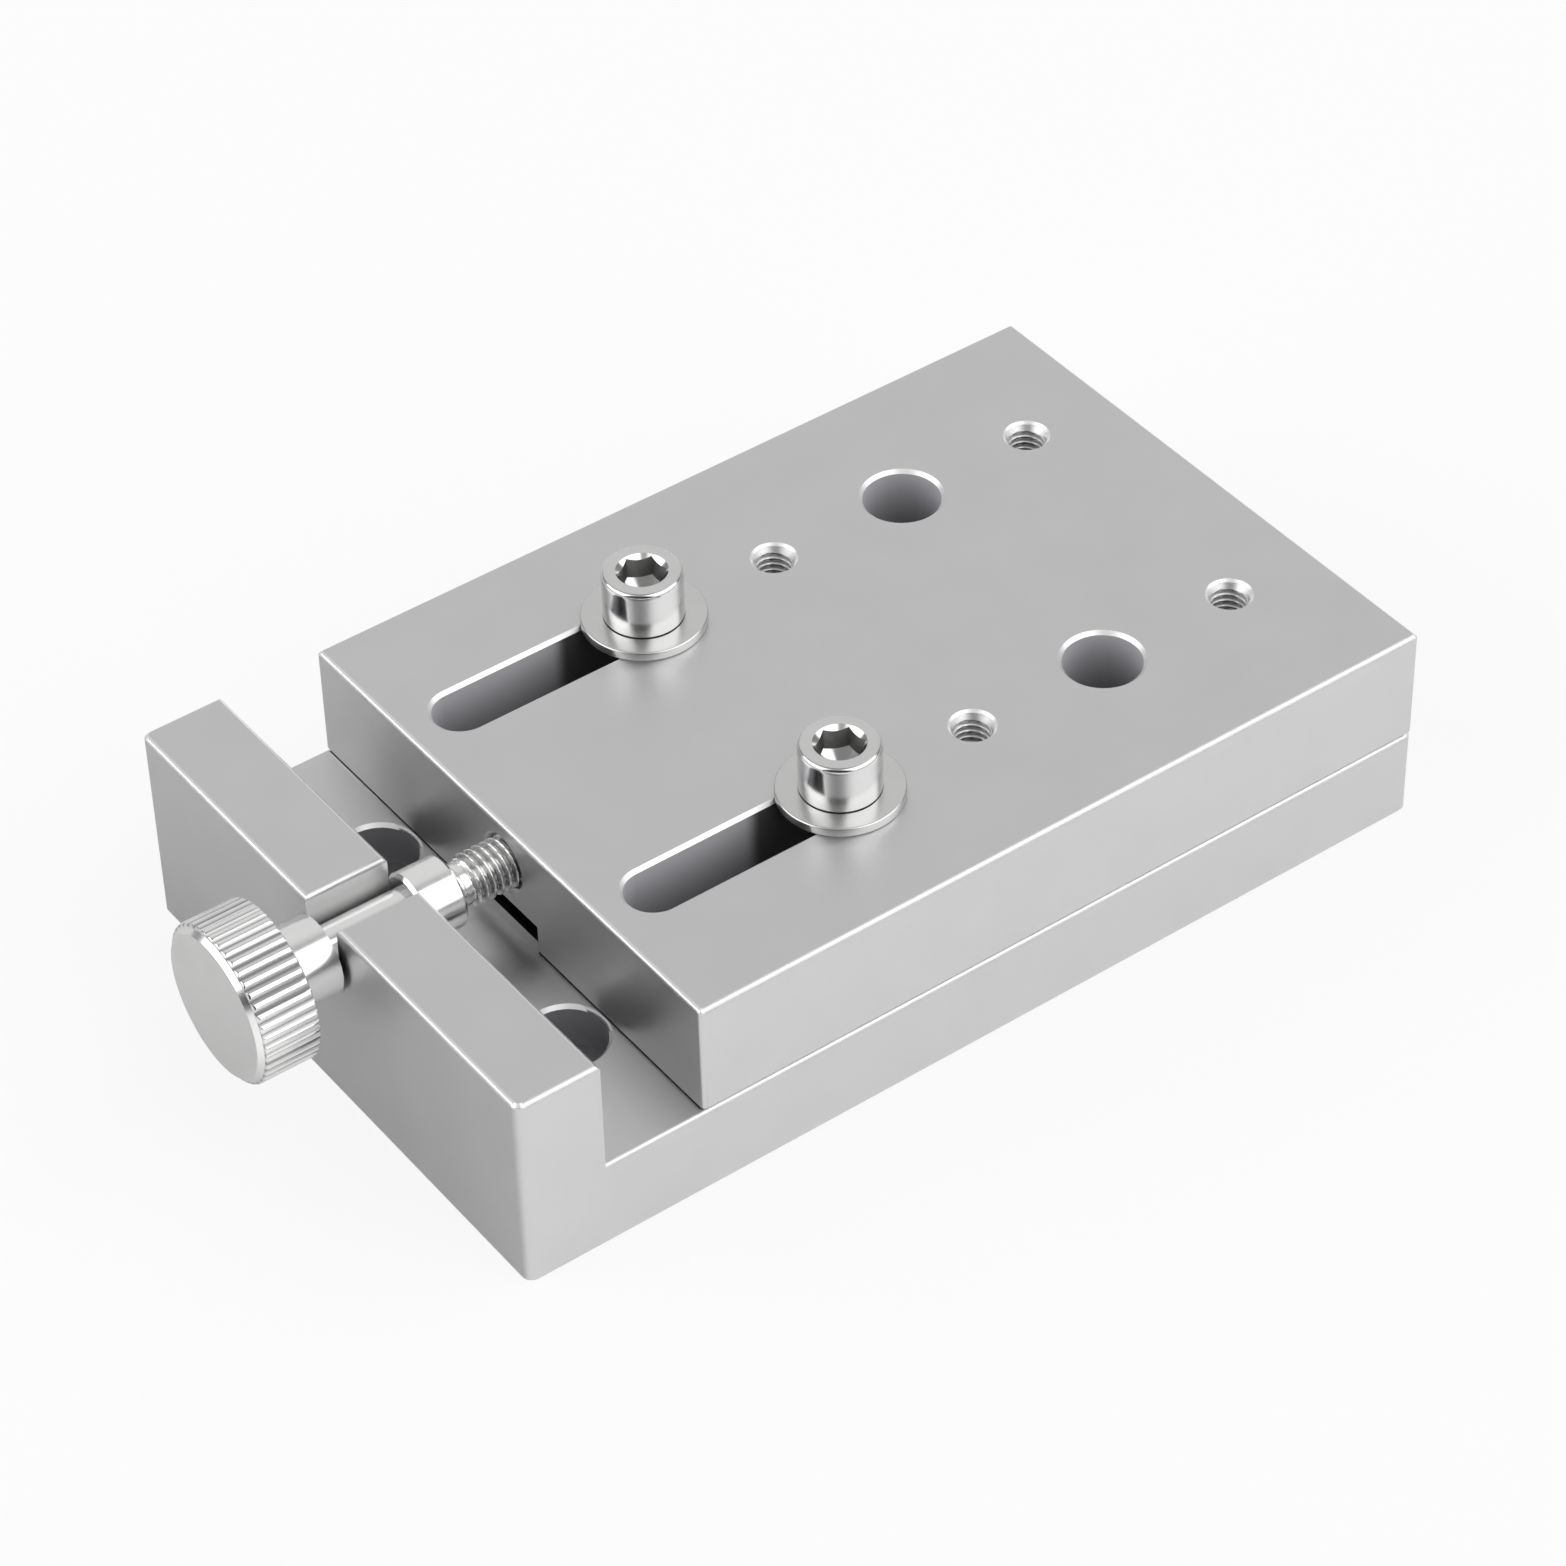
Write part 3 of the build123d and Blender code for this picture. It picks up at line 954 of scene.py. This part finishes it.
def make_steel(name, tone, smooth, rough, spacing, depth, centre, turn=(0, 0, 0)):
    """Turned steel: rings in the bump, bands in roughness and a faint uneven tone.

    Where the socket's flats are marked, faces are rougher and darkened by painted shade. The tone
    falls to a groove's painted shade as the recess rises to 1, and to painted black shade as it
    rises further.
    """
    material, tree, bsdf = new_material(name)
    here = add(tree, "TexCoord").outputs["Object"]
    moved = add(tree, "VectorMath", {0: here, 1: [c * MM for c in centre]}, operation="SUBTRACT")
    place = add(tree, "Mapping", {"Vector": moved.outputs[0],
                                  "Rotation": [math.radians(t) for t in turn]}).outputs[0]
    marks = place_group(tree, turning_marks, {"Place": place, "Spacing mm": spacing})
    grain = place_group(tree, blast_grain, {"Place": place, "Size mm": 0.05})
    dull_and_shaded = add(tree, "Attribute", attribute_name="dull_and_shaded").outputs["Fac"]
    recess = add(tree, "Attribute", attribute_name="recess").outputs["Fac"]

    colour = blend_colour(tree, grain["Film"], shade(tone, 0.98), shade(tone, 1.02))
    # Painted shade: darker socket flats and groove roots, and black in the gap behind the hub.
    layers = [(dull_and_shaded, shade(tone, socket_shade), 0.0, 1.0),
              (recess, shade(tone, groove_shade), 0.0, 1.0),
              (recess, (0.0, 0.0, 0.0), 1.0, painted_black_recess)]
    for where, tint, start, end in layers:
        colour = blend_colour(tree, where, colour, tint, start, end)
    tree.links.new(colour, bsdf.inputs["Base Color"])
    satin = between(tree, marks["Bands"], smooth, rough)
    fine = between(tree, grain["Dents"], -0.01, 0.01)
    more = compute(tree, "MULTIPLY", dull_and_shaded, dull_rough)
    tree.links.new(compute(tree, "ADD", satin, compute(tree, "ADD", fine, more)),
                   bsdf.inputs["Roughness"])
    bump = add(tree, "Bump", {"Strength": 0.15, "Distance": depth * MM,
                              "Height": marks["Marks"]})
    tree.links.new(bump.outputs[0], bsdf.inputs["Normal"])
    bsdf.inputs["Metallic"].default_value = 1.0
    return material


feed_tone, screw_tone = (0.88, 0.88, 0.875), (0.70, 0.70, 0.695)
feed_screw.data.materials.append(
    make_steel("feed_steel", feed_tone, smooth=0.17, rough=0.22, spacing=0.12, depth=0.004,
               centre=(0, 0, feed_axis), turn=(0, 90, 0)))
for side, y in sides.items():
    screws[side].data.materials.append(
        make_steel(side + "_screw_steel", screw_tone, smooth=0.14, rough=0.18, spacing=0.15,
                   depth=0.002, centre=(clamp_x, y, 0)))
    washers[side].data.materials.append(
        make_steel(side + "_washer_steel", shade(screw_tone, 0.95), smooth=0.24, rough=0.3,
                   spacing=0.15, depth=0.004, centre=(clamp_x, y, 0)))
print("steel on feed screw, clamp screws and washers")

# %% [markdown]
# ## Studio
#
# Metal shows the room more than itself, so the room is half of the picture. A product
# photographer would set a large softbox on the right, two on the left beyond the knob, a
# weaker one over the camera, a grey backdrop behind, and a black flag under the camera. We
# write that room into the world as a function of direction: each of them is a rectangle in
# the plane that faces it, and a flag is only a softbox that gives almost no light.

# %% Node group: softbox
def make_softbox():
    """Mask of a rectangle of directions.

    The direction's parts along the box's width and height are divided by its part towards
    the box, and each fades out over the soft edge round the half size.
    """
    vectors = {k: (0.0, 0.0, 0.0) for k in ("Direction", "Facing", "Across", "Upward")}
    group, given, out = open_group(
        "softbox", {**vectors, "Half width": 0.5, "Half height": 0.5, "Soft": 0.1}, ["Mask"])

    def part(axis):
        vectors = {0: given["Direction"], 1: given[axis]}
        return add(group, "VectorMath", vectors, operation="DOT_PRODUCT").outputs["Value"]

    towards = compute(group, "MAXIMUM", part("Facing"), 0.001)

    def inside(axis, half):
        away = compute(group, "ABSOLUTE", compute(group, "DIVIDE", part(axis), towards))
        end = compute(group, "ADD", given[half], given["Soft"])
        values = {0: away, 1: given[half], 2: end, 3: 1.0, 4: 0.0}
        return add(group, "MapRange", values, interpolation_type="SMOOTHSTEP").outputs[0]

    mask = compute(group, "MULTIPLY", inside("Across", "Half width"),
                   inside("Upward", "Half height"))
    ahead = compute(group, "GREATER_THAN", part("Facing"), 0.01)
    group.links.new(compute(group, "MULTIPLY", mask, ahead), out.inputs["Mask"])
    return group


softbox = make_softbox()
print("group:", softbox.name)

# %% [markdown]
# The softboxes now go into the world, one over the other. Below the horizon lies the white
# sweep of paper, with dark card where the end faces mirror it. That is an old trick: they turn
# darker than the long sides, and the form reads.

# %% World with softboxes, a flag and a backdrop
softboxes = {
    "flag": (-138, 15, 35, 21, 0.05),
    "over the camera": (-125, 58, 26, 11, 0.5),
    "left, high": (172, 42, 20, 13, 1.4),
    "right": (-60, 39.5, 35, 28, 1.8),
    "left, low": (159, 24, 27, 13, 2.4),
}
box_edge = 0.13
backdrop_middle, card_middle = (54.5, 35), (125, -40)


def direction(azimuth, elevation):
    """The unit vector at an azimuth from +X and an elevation, in degrees."""
    a, e = math.radians(azimuth), math.radians(elevation)
    return (math.cos(e) * math.cos(a), math.cos(e) * math.sin(a), math.sin(e))


def make_world():
    """Backdrop and card are smooth steps of the cosine from their middle. The softboxes lie
    over the backdrop, each given by azimuth, elevation, half width and half height in
    degrees, and radiance."""
    world = bpy.data.worlds.new("studio")
    world.use_nodes = True
    bpy.context.scene.world = world
    tree = world.node_tree
    towards = add(tree, "TexCoord").outputs["Generated"]
    height = add(tree, "SeparateXYZ", {0: towards}).outputs[2]

    def spread(middle, start, end, outside, inside):
        near = add(tree, "VectorMath", {0: towards, 1: middle}, operation="DOT_PRODUCT")
        values = {0: near.outputs["Value"], 1: start, 2: end, 3: outside, 4: inside}
        return add(tree, "MapRange", values, interpolation_type="SMOOTHSTEP").outputs[0]

    light = spread(direction(*backdrop_middle), 0.55, 0.9, 0.27, 0.75)
    for azimuth, elevation, wide, high, radiance in softboxes.values():
        values = {
            "Direction": towards,
            "Facing": direction(azimuth, elevation),
            "Across": direction(azimuth + 90, 0),
            "Upward": direction(azimuth + 180, 90 - elevation),
            "Half width": math.tan(math.radians(wide)),
            "Half height": math.tan(math.radians(high)),
            "Soft": box_edge,
        }
        mask = place_group(tree, softbox, values)["Mask"]
        light = add(tree, "MapRange", {0: mask, 1: 0.0, 2: 1.0, 3: light, 4: radiance}).outputs[0]
    sweep = spread(direction(*card_middle), 0.45, 0.95, 1.15, 0.15)
    values = {0: height, 1: -0.01, 2: 0.01, 3: sweep, 4: light}
    light = add(tree, "MapRange", values).outputs[0]
    background = tree.nodes["Background"]
    tree.links.new(light, background.inputs["Color"])
    background.inputs["Strength"].default_value = 1.0
    return world


world = make_world()
print(f"{world.name}: {len(world.node_tree.nodes)} nodes, with", ", ".join(softboxes))

# %% [markdown]
# The floor is white paper. Its own shading keeps the soft shadow, and a share of plain white
# is added for the camera, so the paper reads as white without any more light on the object.
# In reflections two thirds of it show, with their shadows, over the sweep of the world.
# From below the paper is clear, so the underside can be seen.

# %% Floor
paper_radius, paper_drop = 4000.0, 0.02


def make_floor():
    """A wide disc of paper just under z = 0: rings of radius times cosine and sine."""
    angle = angles(96)
    radius = steps(0.1, (paper_radius, 12))[:, None]
    x, y = radius * np.cos(angle), radius * np.sin(angle)
    rings = np.stack(np.broadcast_arrays(x, y, -paper_drop), axis=-1)
    points, quads, _, _ = skin(rings)
    mesh = bpy.data.meshes.new("paper_floor")
    mesh.from_pydata(points * MM, [], quads.tolist())
    floor = bpy.data.objects.new("paper_floor", mesh)
    bpy.context.scene.collection.objects.link(floor)
    return floor


def mixed(tree, share, one, other):
    """A Mix Shader node from one shader node to another."""
    return add(tree, "MixShader", {0: share, 1: one.outputs[0], 2: other.outputs[0]})


def make_paper(to_camera, to_metal):
    """White paper with a share of plain white for the camera. It is clear from behind, and
    by a share for reflections and glass."""
    material, tree, bsdf = new_material("white_paper")
    bsdf.inputs["Base Color"].default_value = (0.94, 0.94, 0.94, 1)
    bsdf.inputs["Roughness"].default_value = 1.0
    bsdf.inputs["Specular IOR Level"].default_value = 0.0
    path = add(tree, "LightPath").outputs
    white = add(tree, "Emission", {"Color": (1, 1, 1, 1), "Strength": 0.985})
    lifted = mixed(tree, compute(tree, "MULTIPLY", path["Is Camera Ray"], to_camera),
                   bsdf, white)
    metal = compute(tree, "ADD", path["Is Glossy Ray"], path["Is Transmission Ray"])
    behind = add(tree, "NewGeometry").outputs["Backfacing"]
    clear = compute(tree, "MAXIMUM", compute(tree, "MULTIPLY", metal, to_metal), behind)
    shown = mixed(tree, clear, lifted, add(tree, "BsdfTransparent"))
    tree.links.new(shown.outputs[0], tree.nodes["Material Output"].inputs["Surface"])
    return material


floor = make_floor()
floor.data.materials.append(make_paper(to_camera=0.85, to_metal=0.35))
print("floor faces up:", floor.data.polygons[0].normal.z > 0)

# %% [markdown]
# ## Camera
#
# The camera stands where the photographer stood, a long lens looking down on the knob end.
# It is given by the point that it aims at, its distance, heading, depression and roll.

# %% Camera
def make_camera(aim, distance, heading, depression, roll, lens):
    """Turns in order: roll, then tilt down, then heading, and steps back from the aim."""
    data = bpy.data.cameras.new("camera")
    data.lens, data.sensor_width = lens, 36.0
    turn = (Matrix.Rotation(math.radians(heading - 90), 4, "Z")
            @ Matrix.Rotation(math.radians(90 - depression), 4, "X")
            @ Matrix.Rotation(math.radians(roll), 4, "Z"))
    camera = bpy.data.objects.new("camera", data)
    bpy.context.scene.collection.objects.link(camera)
    forward = turn @ Vector((0, 0, -1))
    camera.matrix_world = Matrix.Translation(Vector(aim) * MM - forward * distance * MM) @ turn
    bpy.context.scene.camera = camera
    return camera


camera = make_camera(aim=(-0.787, -0.357, 10.0), distance=484.08, heading=54.516,
                     depression=41.794, roll=-1.496, lens=121.08)
bpy.context.scene.view_settings.view_transform = "Standard"
print("camera at", [round(c / MM, 1) for c in camera.matrix_world.translation])

# %% Update the view layer
bpy.context.view_layer.update()
